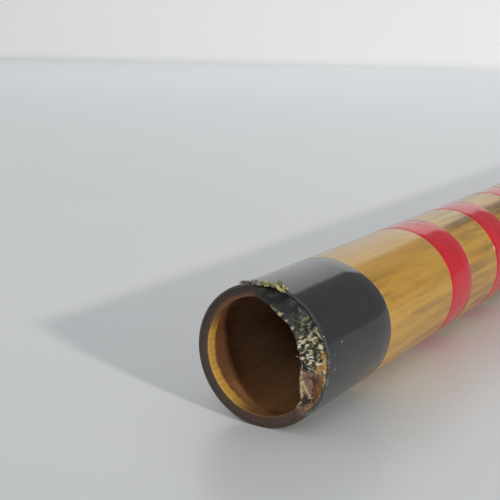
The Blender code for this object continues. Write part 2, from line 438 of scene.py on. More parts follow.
def dry_reed_skin():
    """The inner skin of a reed: a thin dry film, a little see-through, with fine veins along it."""
    material, tree, shader, coords = new_material("dry_reed_skin", 0.38)
    shader.inputs["Alpha"].default_value = 0.86
    veins = pattern(tree, coords, 5 * MM, 0.3 * MM, low=0.3, high=0.7)
    patches = pattern(tree, coords, 2.5 * MM, 2.5 * MM)
    colour = blend_colour(tree, scaled(tree, veins, 0.0, 0.3), linear(colours().skin), linear("#CDBB8A"))
    colour = blend_colour(tree, scaled(tree, patches, 0.0, 0.3), colour, linear("#F7F2E2"))
    tree.links.new(colour, shader.inputs["Base Color"])
    add_bump(tree, shader, veins, 0.02 * MM, 0.6)
    return material


# ---- The broken head rim ------------------------------------------------------------------------------
# Angles between which the rim goes from whole to broken, and from broken to whole again, in degrees.
BREAK_START = (-10.0, 10.0)
BREAK_END = (126.0, 142.0)
# Angles between which the head end's faces are made finer, in degrees. The break lies inside them.
BREAK_REACH = (-24.0, 152.0)
# The inner edge of the broken lip: angles in degrees, and distances from the bore's axis in mm.
LIP_ANGLES = (-10, 14, 24, 45, 60, 90, 104, 116, 124, 142)
LIP_DISTANCES = (9.0, 8.6, 7.9, 7.9, 7.5, 7.2, 7.3, 7.9, 8.8, 9.0)
# The colours of the rim and of what shows where it is broken.
RIM_CODES = {
    "paint": "#17181A",
    "cream": "#B9AC80",
    "straw": "#AE8446",
    "moss": "#77784A",
    "pith": "#7C5C50",
    "bark": "#3A2620",
    "rust": "#8E5C34",
    "white": "#DEDACB",
    "amber": "#7C5028",
    "deep_brown": "#332C25",
}


def by_break(angle):
    return (angle > BREAK_REACH[0]) & (angle < BREAK_REACH[1])


def brokenness(points):
    """How broken the rim is at each point's angle, from 0 to 1, with ragged ends."""
    angle, _ = around(points)
    wander = 5.0 * rough(points, (2 * MM, 2 * MM, 2 * MM), 1)
    return ease(angle + wander, *BREAK_START) * (1.0 - ease(angle + wander, *BREAK_END))


def lip_radius(angle):
    return np.interp(angle, LIP_ANGLES, LIP_DISTANCES) * MM


def rim_travel(points, skin):
    """How far along the tube's outline each point is, in mm: 6 at the rim's outer edge and 8 inside it."""
    x = (points[:, 0] - HEAD) / MM
    _, radius = around(points)
    share = (skin - radius) / (skin - BORE)
    return np.where(share < 0.08, 6.0 - x, np.where(share > 0.92, 8.0 + x, 6.0 + 2.0 * share))


def break_rim(points, skin):
    """Moves the points near the head rim to the broken shape, and says how broken each one is."""
    travel = rim_travel(points, skin)
    angle, radius = around(points)
    broken = brokenness(points)
    lip = lip_radius(angle)
    hollow = ease(angle, 98.0, 108.0) * (1.0 - ease(angle, 124.0, 134.0))
    # Stops along the outline. Below, xs holds each one's place in mm and rs its share of the depth.
    at = np.array([0.0, 4.6, 5.6, 6.2, 7.0, 7.7, 8.1, 9.0, 11.5, 14.0])
    along = np.empty(len(points))
    across = np.empty(len(points))
    for index, (place, edge, dip) in enumerate(zip(travel, lip, hollow)):
        depth = skin - edge
        xs = [6.0, 1.4, 0.95, 0.55 + 0.5 * dip, -0.15 + 1.5 * dip, -0.9 + 0.5 * dip, -0.8, 0.5, 3.0, 6.0]
        rs = [0.0, 0.0, 0.03, 0.22, 0.60, 0.93, 1.0, 1.02, 0.75, 0.0]
        along[index] = np.interp(place, at, xs) * MM
        inward = np.interp(place, at, rs)
        target = skin - inward * depth
        if place > 9.0:
            target = BORE - inward * (BORE - edge)
        across[index] = target
    zone = ease(travel, 4.4, 5.4) * (1.0 - ease(travel, 9.5, 12.5)) * broken
    new_x = (1 - broken) * (points[:, 0] - HEAD) + broken * along
    new_radius = (1 - broken) * radius + broken * across
    turn = np.radians(angle)

    def placed(x, distance):
        return np.column_stack([HEAD + x, -np.sin(turn) * distance, AXIS_HEIGHT + np.cos(turn) * distance])

    smooth = placed(new_x, new_radius)
    # The painted upper slope and the hollow are smooth, and the torn stretch between them is the roughest.
    calm = 1.0 - 0.75 * np.maximum(hollow, 1.0 - ease(angle, 42.0, 66.0))
    lumps = 0.34 * rough(smooth, (1.6 * MM, 1.5 * MM, 1.5 * MM), 2)
    lumps += 0.30 * calm * rough(smooth, (0.65 * MM, 0.6 * MM, 0.6 * MM), 3)
    lumps += 0.12 * calm * rough(smooth, (0.26 * MM, 0.22 * MM, 0.22 * MM), 4)
    ridge, _ = crossing_ridge(travel, angle)
    lumps += 0.3 * ridge
    moved = placed(new_x - zone * lumps * MM, np.minimum(new_radius + zone * 0.6 * lumps * MM, skin))
    near = travel > 0.5
    points[near & (travel < 13.5)] = moved[near & (travel < 13.5)]
    return travel, angle, broken


def crossing_ridge(travel, angle):
    """The ridge of fibre that crosses the foot of the break, and what lies on its inner side."""
    line = np.interp(angle, (110.0, 120.0, 130.0), (7.6, 7.25, 6.2))
    span = ease(angle, 107.0, 112.0) * (1.0 - ease(angle, 128.0, 133.0))
    return span * (1.0 - ease(np.abs(travel - line), 0.03, 0.16)), span * ease(travel - line, 0.15, 0.35)


def mix(first, second, share):
    share = np.asarray(share)[:, None]
    return first * (1 - share) + second * share


def bore_colours(place, angle):
    """The bore's wall: brown near the mouth, and paler further in and along its underside, which is painted
    light for the light that the lamps bring too little of down the bore.
    """
    shade = colours()
    codes = (shade.bore, shade.bore_under, shade.bore_deep)
    near, under, deep = (np.array(linear(code)[:3]) for code in codes)
    # Painted light: the wall is paler along its underside and further in, where more light would fall.
    painted_underside_light = ease(np.abs(angle), 110.0, 165.0) * ease(place[:, 0], HEAD + 1.0 * MM, HEAD + 3.5 * MM)
    wall = mix(np.tile(near, (len(place), 1)), under, painted_underside_light)
    return mix(wall, deep, ease(place[:, 0], HEAD + 5 * MM, HEAD + 12 * MM))


def rim_colours(place, travel, angle, broken):
    """The rim's own colours: dark stain, the pale mouth, and the torn stretch from its top to its foot."""
    shade = colours()
    codes = {"stain": shade.end_grain, "mouth": shade.mouth, **RIM_CODES}
    tone = {name: np.array(linear(code)[:3]) for name, code in codes.items()}
    tone["wall"] = bore_colours(place, angle)
    count = len(place)
    speck = rough(place, (1.0 * MM, 0.9 * MM, 0.9 * MM), 6)
    fine = rough(place, (0.45 * MM, 0.4 * MM, 0.4 * MM), 7)
    # Whole rim: stained end grain, a pale strip just inside the mouth on the +Y side, then the bore's brown.
    pale_side = ease(angle, -172.0, -145.0) * (1.0 - ease(angle, -78.0, -56.0))
    strip = ease(travel, 7.62, 7.8) * (1.0 - ease(travel + 0.25 * speck, 9.2, 9.8))
    worn = ease(angle, -95.0, -50.0) * (1.0 - ease(angle, -20.0, 0.0)) * ease(travel + 0.5 * speck, 6.9, 7.5)
    whole = mix(np.tile(tone["stain"], (count, 1)), tone["wall"], ease(travel, 7.6, 8.0))
    whole = mix(whole, tone["amber"], 0.8 * worn * (1.0 - ease(travel, 7.6, 7.8)))
    # The outer part of the end grain is darker towards its upper left, from about -85 degrees up to the
    # break.
    upper_left_darkening = ease(angle, -85.0, -45.0) * (1.0 - ease(travel + 0.3 * speck, 6.8, 7.3))
    whole = mix(whole, tone["deep_brown"], 0.8 * upper_left_darkening * (1.0 - ease(angle, 100.0, 130.0)))
    whole = mix(whole, tone["mouth"], strip * (0.12 + 0.88 * pale_side))
    # Broken stretch: black paint on the upper slope, with cream showing at its inner edge and in flecks.
    torn = np.tile(tone["paint"], (count, 1))
    blotch = rough(place, (0.6 * MM, 0.5 * MM, 0.5 * MM), 9)
    lip = ease(travel + 0.4 * blotch, 7.5, 7.7) * (1.0 - ease(travel, 7.95, 8.3))
    lip = lip * ease(blotch + fine, -0.1, 0.2)
    torn = mix(torn, tone["cream"], 0.9 * lip * ease(angle, 12.0, 24.0))
    mossy = ease(fine, 0.18, 0.32) * ease(angle, 36.0, 48.0) * (1.0 - ease(travel, 7.0, 7.4))
    torn = mix(torn, tone["moss"], 0.8 * mossy)
    torn_middle = ease(angle + 5.0 * speck, 54.0, 64.0)
    torn = mix(torn, tone["cream"], 0.9 * torn_middle * ease(blotch + 0.3 * fine, 0.10, 0.26))
    straw = ease(speck, -0.15, 0.1) * ease(angle, 74.0, 84.0)
    straw = straw * ease(travel, 5.0, 5.3) * (1 - ease(travel, 6.3, 6.7))
    torn = mix(torn, tone["straw"], straw)
    bleached = ease(blotch - 0.3 * fine, 0.24, 0.34) * ease(angle, 60.0, 70.0) * (1 - ease(angle, 90.0, 96.0))
    torn = mix(torn, tone["white"], bleached * ease(travel, 5.6, 6.0))
    # The hollow at the foot of the break: brown pith, rust on its outer side, pale edges and a ridge across.
    foot = ease(angle + 3.0 * speck, 93.0, 99.0)
    torn = mix(torn, tone["pith"], foot)
    rusty = ease(travel, 5.4, 5.7) * (1.0 - ease(travel + 0.4 * fine, 6.2, 6.6))
    torn = mix(torn, tone["rust"], foot * rusty)
    ridge, behind = crossing_ridge(travel, angle)
    torn = mix(torn, tone["bark"], foot * behind)
    inner_edge = 0.8 * ease(travel, 7.52, 7.65) * (1.0 - ease(travel, 7.8, 8.0))
    outer_edge = ease(travel, 4.8, 4.9) * (1.0 - ease(travel, 5.55, 5.8))
    edges = np.maximum(inner_edge, outer_edge) * ease(speck + fine, -0.5, -0.2)
    torn = mix(torn, tone["cream"], foot * np.maximum(edges, ridge))
    torn = mix(torn, tone["wall"], ease(travel, 8.9, 9.8))
    return mix(whole, torn, broken)


def lacquer_back(angle):
    """How far the head band's back edge strays along the tube at each angle, since it was brushed by hand."""
    bulge = ease(angle, 12.0, 66.0) * (1.0 - ease(angle, 90.0, 165.0))
    return (1.35 * bulge - 0.4 * np.cos(np.radians(angle))) * MM


def binding_edge(rest, front, back):
    """Where the head binding's two ends run: the front one follows the break."""
    angle, _ = around(rest)
    back_shift = lacquer_back(angle) * ease(rest[:, 0], front, back)
    torn = brokenness(rest) * (1.1 * MM + 0.22 * MM * rough(rest * [0, 1, 1], (MM, 1.8 * MM, 1.8 * MM), 8))
    return rest[:, 0] + back_shift + torn * (1.0 - ease(rest[:, 0], front, front + 3.0 * MM))


# ---- Outlines -----------------------------------------------------------------------------------------
def spaced(start, end, step):
    """Evenly spaced places from start up to, but not at, end."""
    count = max(1, round(abs(end - start) / step))
    return [start + (end - start) * index / count for index in range(count)]


def groove_list():
    """The start and end of each red binding's groove along the tube."""
    bands = [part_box(name) for name in RED_BINDINGS]
    return sorted((low.x, high.x) for low, high in bands)


def tube_outline():
    """The whole tube: along the outside from the head, with its grooves, and back through the bore."""
    seat = RADIUS - sizes().binding_depth
    ease_edge = 0.06 * MM
    head_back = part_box("head_end_binding")[1].x
    foot_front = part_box("foot_end_binding")[0].x
    # The steps, in mm from the head end, are short where the rim is broken.
    outline = [(HEAD + step * MM, seat) for step in (0.05, 0.3, 0.6, 0.9, 1.2, 1.5, 2.0, 3.0, 4.5, 6.0)]
    outline += [(x, seat) for x in spaced(HEAD + 9 * MM, head_back, 4 * MM)]
    outline += [(head_back, seat), (head_back, RADIUS - ease_edge), (head_back + ease_edge, RADIUS)]
    here = head_back + ease_edge
    for start, end in groove_list():
        outline += [(x, RADIUS) for x in spaced(here, start - ease_edge, 3.4 * MM)[1:]]
        outline += [(start - ease_edge, RADIUS), (start, RADIUS - ease_edge), (start, seat)]
        outline += [(end, seat), (end, RADIUS - ease_edge), (end + ease_edge, RADIUS)]
        here = end + ease_edge
    outline += [(x, RADIUS) for x in spaced(here, foot_front - ease_edge, 3.4 * MM)[1:]]
    outline += [(foot_front - ease_edge, RADIUS), (foot_front, RADIUS - ease_edge), (foot_front, seat)]
    outline += [(FOOT - 0.1 * MM, seat), (FOOT, seat - 0.1 * MM)]
    face = seat - BORE
    outline += [(FOOT, BORE + face * share) for share in (0.7, 0.4, 0.2)]
    outline += [(FOOT - 0.15 * MM, BORE), (FOOT - 1.2 * MM, BORE)]
    outline += [(x, BORE) for x in spaced(FOOT - 4 * MM, HEAD + 9 * MM, 8 * MM)]
    steps = (7.5, 6.0, 4.5, 3.5, 2.8, 2.2, 1.8, 1.5, 1.2, 0.9, 0.6, 0.3, 0.12)
    outline += [(HEAD + step * MM, BORE) for step in steps]
    outline += [(HEAD, BORE + face * share) for share in (0.1, 0.25, 0.4, 0.55, 0.7, 0.85, 0.95)]
    return outline


def binding_outline(low, high, dense=False):
    """A binding's section: square below, with rounded edges where its lacquer meets the bamboo."""
    seat = RADIUS - sizes().binding_depth + 0.01 * MM
    top = RADIUS + sizes().binding_proud
    curve = sizes().edge_round
    turns = [math.radians(degrees) for degrees in (0, 30, 60, 90)]
    corner = [(curve * (1 - math.cos(turn)), curve * (1 - math.sin(turn))) for turn in turns]
    outline = [(low, seat)]
    outline += [(low + run, top - drop) for run, drop in corner]
    if dense:
        outline += [(low + step * MM, top) for step in (0.25, 0.5, 0.8, 1.1, 1.5, 2.2, 3.2)]
    outline += [(x, top) for x in spaced(low + (5 if dense else 2) * MM, high - MM, 2.4 * MM)]
    outline += [(high - run, top - drop) for run, drop in reversed(corner)]
    outline += [(high, seat)]
    return outline


# ---- Pieces -------------------------------------------------------------------------------------------
def hole_post(x, length, width, upward):
    """A cutter for one hole: an oval post whose sides flare out at the surface to ease the hole's edge."""
    flare = sizes().hole_round
    start_clean()
    foot_rise = BORE * 0.55
    foot = AXIS_HEIGHT + foot_rise
    bpy.ops.mesh.primitive_circle_add(vertices=56, radius=1.0, fill_type="NGON", location=(0, 0, 0))
    post = bpy.context.object
    write_points(post.data, read_points(post.data) * [length / 2, width / 2, 1.0] + [x, 0.0, foot])
    edit_all(post)
    # Each ring's rise over the one below, and how much wider it is.
    rings = [(RADIUS - foot_rise - flare, 0.0)]
    turns = [math.radians(degrees) for degrees in (0, 18, 36, 54, 72)]
    for first, last in zip(turns, turns[1:]):
        rise = flare * (math.sin(last) - math.sin(first))
        rings.append((rise, flare * (math.cos(first) - math.cos(last))))
    rings.append((2 * MM, 0.0))
    grown = 0.0
    for rise, spread in rings:
        before = grown
        grown += spread
        bpy.ops.mesh.extrude_region_move(TRANSFORM_OT_translate={"value": (0.0, 0.0, rise)})
        longer = (length / 2 + grown) / (length / 2 + before)
        wider = (width / 2 + grown) / (width / 2 + before)
        bpy.ops.transform.resize(value=(longer, wider, 1.0), center_override=(x, 0.0, foot))
    bpy.ops.object.mode_set(mode="OBJECT")
    points = read_points(post.data)
    drop = RADIUS - np.sqrt(np.maximum(RADIUS**2 - points[:, 1] ** 2, 0.0))
    points[:, 2] -= drop * ease(points[:, 2], foot, foot + 2 * MM)
    if not upward:
        points[:, 2] = 2 * AXIS_HEIGHT - points[:, 2]
    write_points(post.data, points)
    edit_all(post)
    bpy.ops.mesh.normals_make_consistent(inside=False)
    bpy.ops.object.mode_set(mode="OBJECT")
    return post


def all_hole_posts():
    """One cutter for all the holes: the blow, finger and vent holes where the frame's own holes are, the
    membrane hole under the frame's membrane, and the two tassel holes set back from the foot binding.
    """
    size = sizes()
    posts = []
    for name, (low, high) in OPENINGS.items():
        kind = name.split("_")[0]
        if kind in ("blow", "finger", "vent"):
            length = getattr(size, f"{kind}_length")
            width = getattr(size, f"{kind}_width")
            posts.append(hole_post((low[0] + high[0]) / 2, length, width, True))
    low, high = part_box("membrane")
    posts.append(hole_post((low.x + high.x) / 2, size.membrane_length, size.membrane_width, True))
    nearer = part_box("foot_end_binding")[0].x - size.tassel_margin
    for x in (nearer, nearer - size.tassel_spacing):
        posts.append(hole_post(x, size.tassel_width, size.tassel_width, False))
    make_active(posts[0])
    for post in posts[1:]:
        post.select_set(True)
    bpy.ops.object.join()
    return posts[0]


class FLUTE_OT_tube(bpy.types.Operator):
    """Turns the tube, drills its holes and breaks its head rim"""

    bl_idname = "flute.tube"
    bl_label = "Bamboo tube"

    def execute(self, context):
        skin = RADIUS - sizes().binding_depth
        tube = turned("bamboo_tube_body", tube_outline(), HEAD_STEPS)

        def near_break(middles):
            angle, _ = around(middles)
            travel = rim_travel(middles, skin)
            return (middles[:, 0] < HEAD + 2.0 * MM) & (travel > 4.5) & (travel < 9.6) & by_break(angle)

        posts = all_hole_posts()
        apply_modifier(tube, "BOOLEAN", object=posts, operation="DIFFERENCE", solver="EXACT")
        bpy.data.objects.remove(posts)
        refine(tube, near_break, 2)
        rest = read_points(tube.data)
        points = rest.copy()
        head = rest[:, 0] < HEAD + 9 * MM
        near = rest[head]
        travel, angle, broken = break_rim(near, skin)
        points[head] = near
        edge = np.abs(rest[:, 0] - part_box("head_end_binding")[1].x) < 0.2 * MM
        points[edge, 0] += lacquer_back(around(rest[edge])[0])
        write_points(tube.data, points)
        tone = bore_colours(rest, around(rest)[0])
        tone[head] = rim_colours(points[head], travel, angle, broken)
        foot_face = rest[:, 0] > FOOT - 0.12 * MM
        tone[foot_face] = np.array(linear(colours().end_grain)[:3])
        paint(tube, "rim", tone)
        woods = [varnished_bamboo(), raw_bamboo(), broken_bamboo()]
        finish_piece(tube, woods, "flute", ["bamboo_tube"], 35)
        self.assign(tube)
        return {"FINISHED"}

    def assign(self, tube):
        """Bare wood inside and at both ends, torn wood on the broken rim, and varnish everywhere else."""
        for polygon in tube.data.polygons:
            middle = np.array([polygon.center])
            angle, radius = around(middle)
            inside = radius[0] < RADIUS - 0.62 * MM
            at_head = middle[0, 0] < HEAD + 3.0 * MM
            at_edge = middle[0, 0] < HEAD + 1.3 * MM or radius[0] < BORE - 0.1 * MM
            if at_head and -8 < angle[0] < 140 and at_edge:
                polygon.material_index = 2
            elif inside or middle[0, 0] < HEAD + 0.2 * MM or middle[0, 0] > FOOT - 0.2 * MM:
                polygon.material_index = 1


class FLUTE_OT_bindings(bpy.types.Operator):
    """Lays the black binding at each end and the red ones along the tube"""

    bl_idname = "flute.bindings"
    bl_label = "Lacquered bindings"

    def execute(self, context):
        black = lacquer("black_lacquer", colours().black, "#1B1C1E", 0.11)
        red = lacquer("red_lacquer", colours().red, "#A81522", 0.14, ior=1.36)
        self.head_binding(black)
        self.plain_binding("foot_end_binding", black, "black_lacquer")
        for name in RED_BINDINGS:
            self.plain_binding(name, red, "red_lacquer")
        return {"FINISHED"}

    def plain_binding(self, node, material, slot):
        low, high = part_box(node)
        ring = turned(node + "_lacquer", binding_outline(low.x, high.x), BINDING_STEPS)
        rest = read_points(ring.data)
        uneven = 0.06 * MM * rough(rest * [0, 1, 1], (MM, 5 * MM, 5 * MM), low.x * 1000)
        rest[:, 0] += uneven * np.sign(rest[:, 0] - (low.x + high.x) / 2) * -1
        write_points(ring.data, rest)
        paint(ring, "wear_and_edge_highlight", np.zeros((len(rest), 3)))
        finish_piece(ring, [material], "flute", [node])

    def head_binding(self, material):
        low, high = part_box("head_end_binding")
        ring = turned("head_end_binding_lacquer", binding_outline(low.x, high.x, dense=True), HEAD_STEPS)

        def near_break(middles):
            angle, _ = around(middles)
            return (middles[:, 0] < low.x + 1.5 * MM) & by_break(angle)

        refine(ring, near_break, 2)
        rest = read_points(ring.data)
        points = rest.copy()
        points[:, 0] = binding_edge(rest, low.x, high.x)
        angle, radius = around(rest)
        front = rest[:, 0] - low.x
        dents = np.maximum(0.0, rough(rest, (0.7 * MM, 0.7 * MM, 0.7 * MM), 9) - 0.45)
        dents *= ease(angle, 60.0, 80.0) * (1 - ease(angle, 100.0, 115.0)) * (1 - ease(front, 3 * MM, 6 * MM))
        pull = 1.0 - 0.25 * MM * dents / radius
        points[:, 1] *= pull
        points[:, 2] = AXIS_HEIGHT + (points[:, 2] - AXIS_HEIGHT) * pull
        write_points(ring.data, points)
        chips = ease(rough(rest, (1.4 * MM, 1.4 * MM, 1.4 * MM), 10), -0.1, 0.2)
        # The broken front edge: a thin grey line all along the break is a painted highlight, with paler chips
        # from about 60 degrees on.
        chips_and_edge_highlight = brokenness(rest) * (1 - ease(front, 0.05 * MM, 0.14 * MM))
        chips_and_edge_highlight *= 0.15 + 0.40 * ease(angle, 60, 95) * chips
        stained = 0.85 * (1 - brokenness(rest)) * (1 - ease(front, 0.01 * MM, 0.05 * MM))
        pitted = ease(angle, 66, 80) * (1 - ease(angle, 104, 118)) * (1 - ease(front, 3 * MM, 8 * MM))
        paint(ring, "wear_and_edge_highlight", np.column_stack([chips_and_edge_highlight, stained, pitted]))
        finish_piece(ring, [material], "flute", ["head_end_binding"])


STRAND_COUNT = 46
SHRED_COUNT = 34
STRAND_CODES = ["#B9AC80", "#A98F54", "#CBC6B2", "#7C6E48", "#3A2C1C"]
PEELED_CODES = ["#BDB87E", "#9C9A56", "#CFC99E", "#7C7A4C"]
SHRED_CODES = ["#8F8F86", "#55564C", "#A9A48E"]


class FLUTE_OT_splinters(bpy.types.Operator):
    """Adds the loose fibres and the peeled flakes that hang on the broken head rim"""

    bl_idname = "flute.splinters"
    bl_label = "Splinters"

    def execute(self, context):
        chance = random.Random(7)
        pieces = []
        # Short strands along the whole break, most of them near its middle.
        for _ in range(STRAND_COUNT):
            angle = chance.triangular(24.0, 138.0, 88.0)
            share = chance.uniform(0.15, 1.0)
            edge = lip_radius(angle)
            radius = RADIUS - 0.4 * MM - share * (RADIUS - 0.4 * MM - edge)
            x = HEAD + (0.8 - 1.8 * share) * MM + chance.uniform(-0.1, 0.4) * MM
            long = chance.uniform(0.5, 1.3) * MM
            wide = chance.uniform(0.05, 0.12) * MM
            tilt = (chance.uniform(-0.9, 0.9), chance.uniform(-0.5, 0.9), chance.uniform(-1.5, 1.5))
            code = chance.choice(STRAND_CODES)
            pieces.append(self.strand(angle, radius, x, long, wide, tilt, code, chance))
        # A pale curl in the middle of the break, and a smaller one beside it.
        for index, size in enumerate((0.52, 0.24)):
            tilt = (0.15 * index, 0.3 - math.pi / 2, 0.25)
            x = HEAD - (0.55 + 0.12 * index) * MM
            angle = 79.0 + 5.0 * index
            pieces.append(self.curl(angle, 8.8 * MM, x, size * MM, 0.12 * MM, 2.5, tilt, "#EAE8DE"))
        # Grey dry shreds along the top of the rim, and yellow-green ones that lie back over the black band.
        for _ in range(SHRED_COUNT):
            angle = chance.uniform(-16.0, 19.0)
            back = ease(angle, 2.0, 16.0) * chance.random()
            x = HEAD + (0.2 + 2.4 * back) * MM
            long = chance.uniform(0.6, 1.6) * MM
            wide = chance.uniform(0.3, 0.8) * MM
            tilt = (chance.uniform(-0.2, 0.2), chance.uniform(-0.15, 0.05), 1.3 + chance.uniform(-0.9, 0.9))
            codes = PEELED_CODES if angle > 2.0 else SHRED_CODES
            lift = chance.uniform(0.0, 0.12 if angle < 2.0 else 0.25) * MM
            code = chance.choice(codes)
            pieces.append(self.flake(angle, RADIUS + lift, x, long, wide, tilt, code, chance))
        make_active(pieces[0])
        for piece in pieces[1:]:
            piece.select_set(True)
        bpy.ops.object.join()
        splinters = pieces[0]
        splinters.name = "rim_splinters"
        finish_piece(splinters, [splinter_fibre()], "flute", [], 60)
        return {"FINISHED"}

    def seat(self, piece, angle, radius, x, tilt, tone):
        """Turns a fibre that was modelled along X, puts it on the rim, and paints it its shade."""
        turn = -math.radians(angle)
        place = Matrix.Translation((x, 0, AXIS_HEIGHT)) @ Matrix.Rotation(-turn, 4, "X")
        place = place @ Matrix.Translation((0, 0, radius)) @ Euler(tilt).to_matrix().to_4x4()
        piece.data.transform(place)
        paint(piece, "tone", np.tile(linear(tone)[:3], (len(piece.data.vertices), 1)))
        return piece

    def rod(self, sides, cuts):
        """A round rod along X, 1 m long and 1 m in radius, ready to be shaped as a fibre."""
        start_clean()
        lying = (0, math.pi / 2, 0)
        bpy.ops.mesh.primitive_cylinder_add(vertices=sides, radius=1.0, depth=1.0, rotation=lying)
        piece = bpy.context.object
        bpy.ops.object.transform_apply(location=True, rotation=True, scale=True)
        edit_all(piece)
        bpy.ops.mesh.subdivide(number_cuts=cuts)
        bpy.ops.object.mode_set(mode="OBJECT")
        return piece, read_points(piece.data)

    def strand(self, angle, radius, x, long, wide, tilt, tone, chance):
        """A thin fibre that tapers and bends to one side."""
        piece, points = self.rod(6, 4)
        along = points[:, 0] + 0.5
        taper = wide * (1.0 - 0.75 * along**1.5)
        bend = long * 0.35 * chance.uniform(-1, 1) * along**2
        across = points[:, 1] * taper + bend
        upward = points[:, 2] * taper * 0.6 + bend * 0.5
        write_points(piece.data, np.column_stack([along * long - long / 2, across, upward]))
        return self.seat(piece, angle, radius, x, tilt, tone)

    def curl(self, angle, radius, x, size, wide, sweep, tilt, tone):
        """A thick fibre bent round an arc: size is the arc's radius and sweep its angle."""
        piece, points = self.rod(8, 11)
        bend = points[:, 0] * sweep
        thick = wide * (1.0 - 0.6 * np.abs(2 * points[:, 0]) ** 3)
        distance = size + points[:, 1] * thick
        arc = np.column_stack([np.sin(bend) * distance, np.cos(bend) * distance - size, points[:, 2] * thick])
        write_points(piece.data, arc)
        return self.seat(piece, angle, radius, x, tilt, tone)

    def flake(self, angle, radius, x, long, wide, tilt, tone, chance):
        """A thin ragged scrap that curls up at one end."""
        start_clean()
        bpy.ops.mesh.primitive_grid_add(x_subdivisions=12, y_subdivisions=6, size=1.0, location=(0, 0, 0))
        piece = bpy.context.object
        points = read_points(piece.data)
        seed = chance.random() * 50
        ragged = 1.0 + 0.35 * rough(points * [1, 0, 0], (0.2, 1, 1), seed)
        curl = 0.2 * long * (points[:, 0] + 0.5) ** 2
        crumple = 0.12 * MM * rough(points, (0.25, 0.25, 1), seed + 1)
        scrap = np.column_stack([points[:, 0] * long, points[:, 1] * wide * ragged, curl + crumple])
        write_points(piece.data, scrap)
        apply_modifier(piece, "SOLIDIFY", thickness=0.07 * MM, offset=0.0)
        return self.seat(piece, angle, radius, x, tilt, tone)


class FLUTE_OT_cork(bpy.types.Operator):
    """Cuts the cork stopper that closes the bore beside the blow hole"""

    bl_idname = "flute.cork"
    bl_label = "Cork stopper"

    def execute(self, context):
        low, high = CORK_LOW.x, CORK_HIGH.x
        edge = 0.5 * MM
        radius = BORE - 0.08 * MM
        outline = [(low, 0.02 * MM)] + [(low, radius * share) for share in (0.3, 0.6, 0.85)]
        outline += [(low, radius - edge), (low + 0.3 * edge, radius - 0.3 * edge), (low + edge, radius)]
        outline += [(x, radius) for x in spaced(low + 1.2 * MM, high - 1.2 * MM, 0.8 * MM)]
        outline += [(high - edge, radius), (high - 0.3 * edge, radius - 0.3 * edge), (high, radius - edge)]
        outline += [(high, radius * share) for share in (0.85, 0.6, 0.3)] + [(high, 0.02 * MM)]
        cork = turned("cork_stopper_body", outline, CORK_STEPS)
        points = read_points(cork.data)
        lumps = 0.07 * MM * np.maximum(0, rough(points, (0.9 * MM, 0.9 * MM, 0.9 * MM), 11))
        middle = np.array([(low + high) / 2, 0, AXIS_HEIGHT])
        inward = middle - points
        points += inward / np.linalg.norm(inward, axis=1)[:, None] * lumps[:, None]
        write_points(cork.data, points)
        finish_piece(cork, [natural_cork()], "stopper", ["cork_stopper"], 40)
        return {"FINISHED"}


class FLUTE_OT_membrane(bpy.types.Operator):
    """Glues the wrinkled reed skin over its hole"""

    bl_idname = "flute.membrane"
    bl_label = "Membrane"

    def execute(self, context):
        low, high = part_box("membrane")
        start_clean()
        bpy.ops.mesh.primitive_grid_add(x_subdivisions=110, y_subdivisions=60, size=2.0, location=(0, 0, 0))
        skin = bpy.context.object
        skin.name = "membrane_skin"
        square = read_points(skin.data)
        u = square[:, 0] * np.sqrt(1 - square[:, 1] ** 2 / 2)
        v = square[:, 1] * np.sqrt(1 - square[:, 0] ** 2 / 2)
        x = u * (high.x - low.x) / 2
        arc = v * (high.y - low.y) / 2
        flat = np.column_stack([x, arc, np.zeros(len(x))])
        x = x * (1 + 0.02 * rough(np.column_stack([u, v, u * 0]), (0.5, 0.5, 1), 12))
        off_middle = np.hypot(x / (sizes().membrane_length / 2), arc / (sizes().membrane_width / 2))
        over_hole = 1 - ease(off_middle, 0.75, 1.05)
        folds = 0.5 + 0.5 * np.sin(math.tau * x / (0.62 * MM) + 1.6 * rough(flat, (2 * MM, 2 * MM, 1), 13))
        lift = 0.05 * MM + over_hole * 0.09 * MM * folds + 0.02 * MM * rough(flat, (MM, MM, 1), 14)
        radius = RADIUS + lift
        turn = np.arcsin(np.clip(arc / RADIUS, -0.9, 0.9))
        middle = (low.x + high.x) / 2
        laid = np.column_stack([middle + x, np.sin(turn) * radius, AXIS_HEIGHT + np.cos(turn) * radius])
        write_points(skin.data, laid)
        apply_modifier(skin, "SOLIDIFY", thickness=0.03 * MM, offset=1.0)
        finish_piece(skin, [dry_reed_skin()], "flute", ["membrane"], 60)
        return {"FINISHED"}


# ---- The stage ----------------------------------------------------------------------------------------
CAMERA_PLACE = (HEAD - 118.5 * MM, -73.8 * MM, 58.1 * MM)
CAMERA_DOWN = 12.57
CAMERA_LEFT = 32.5
# Sizes in metres. The wall runs across the far end of the table from WALL_START, beside the flute's own line.
FLOOR_SIZE = (3.0, 5.0)
FLOOR_SHIFT = 0.15
WALL_DISTANCE = 1.27
WALL_START = 0.13
WALL_WIDTH = 2.8
WALL_HEIGHT = 1.5
# Each lamp's name, place from the point that it lights, size, power in watts, and colour.
LAMPS = (
    ("ceiling_light", (0.1, 0.2, 1.1), (1.8, 1.8), 3.8, "#F4F7FF"),
    ("key_light", (-0.86, -2.26, 0.80), (0.20, 0.09), 41.0, "#FFFDF6"),
    ("fill_light", (-0.95, -0.3, 0.7), (0.5, 0.5), 1.8, "#FFF6EA"),
)


